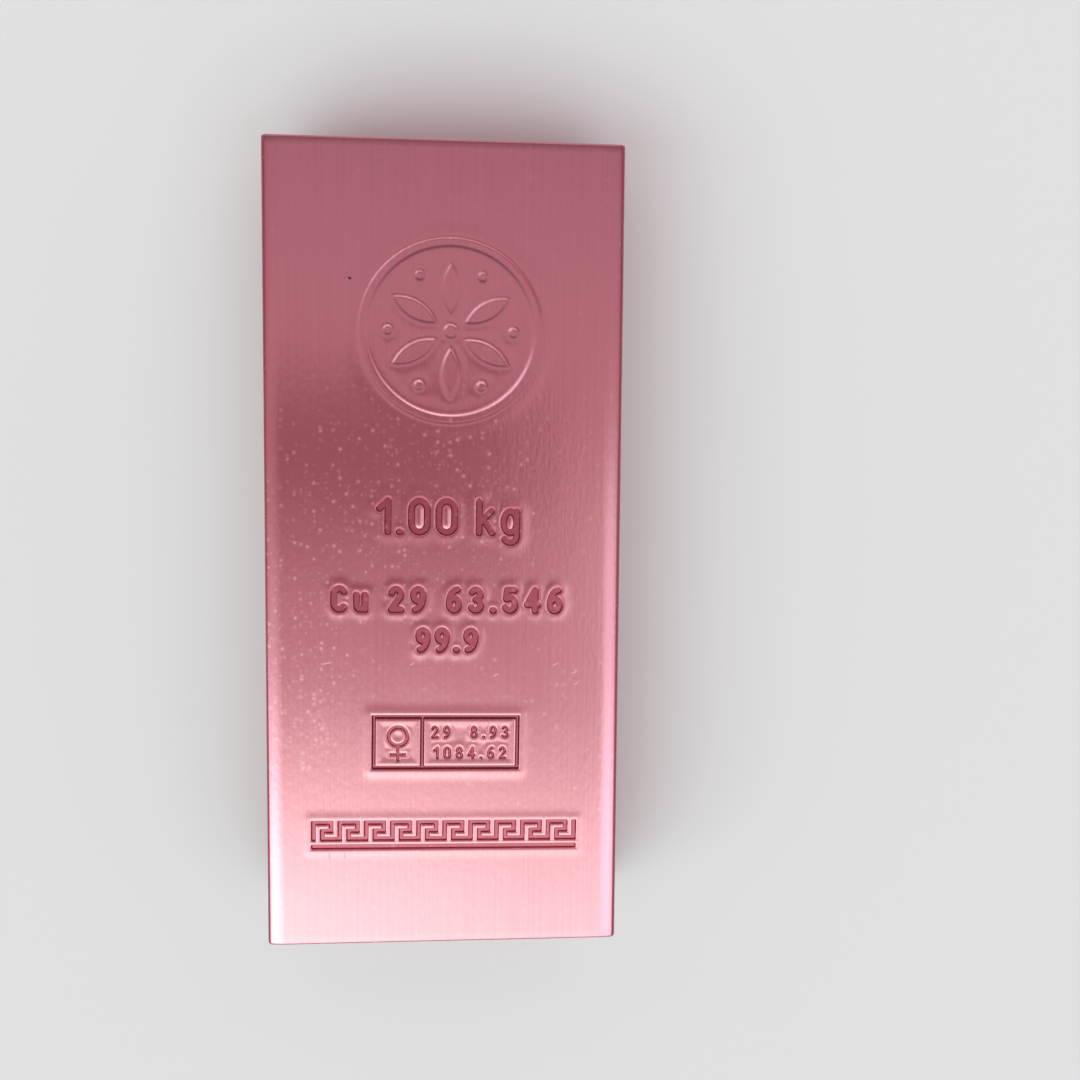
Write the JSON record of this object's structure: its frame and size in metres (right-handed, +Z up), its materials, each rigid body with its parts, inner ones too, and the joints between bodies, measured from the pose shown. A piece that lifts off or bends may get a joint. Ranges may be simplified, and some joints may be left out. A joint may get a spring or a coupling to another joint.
{
  "type": "copper ingot",
  "caption": "Flat rectangular copper bar with eased long edges, square sawn ends and ornament struck into its upper face.",
  "frame": {"origin": "middle of the face that the bar lies on", "axes": "+X across the bar, +Y along it towards the ringed rosette, +Z up out of the struck face"},
  "size_m": [0.05, 0.1134, 0.0198],
  "materials": {
    "copper": "satin drawn copper"
  },
  "bodies": {
    "root": {"ingot": "copper"}
  },
  "joints": []
}
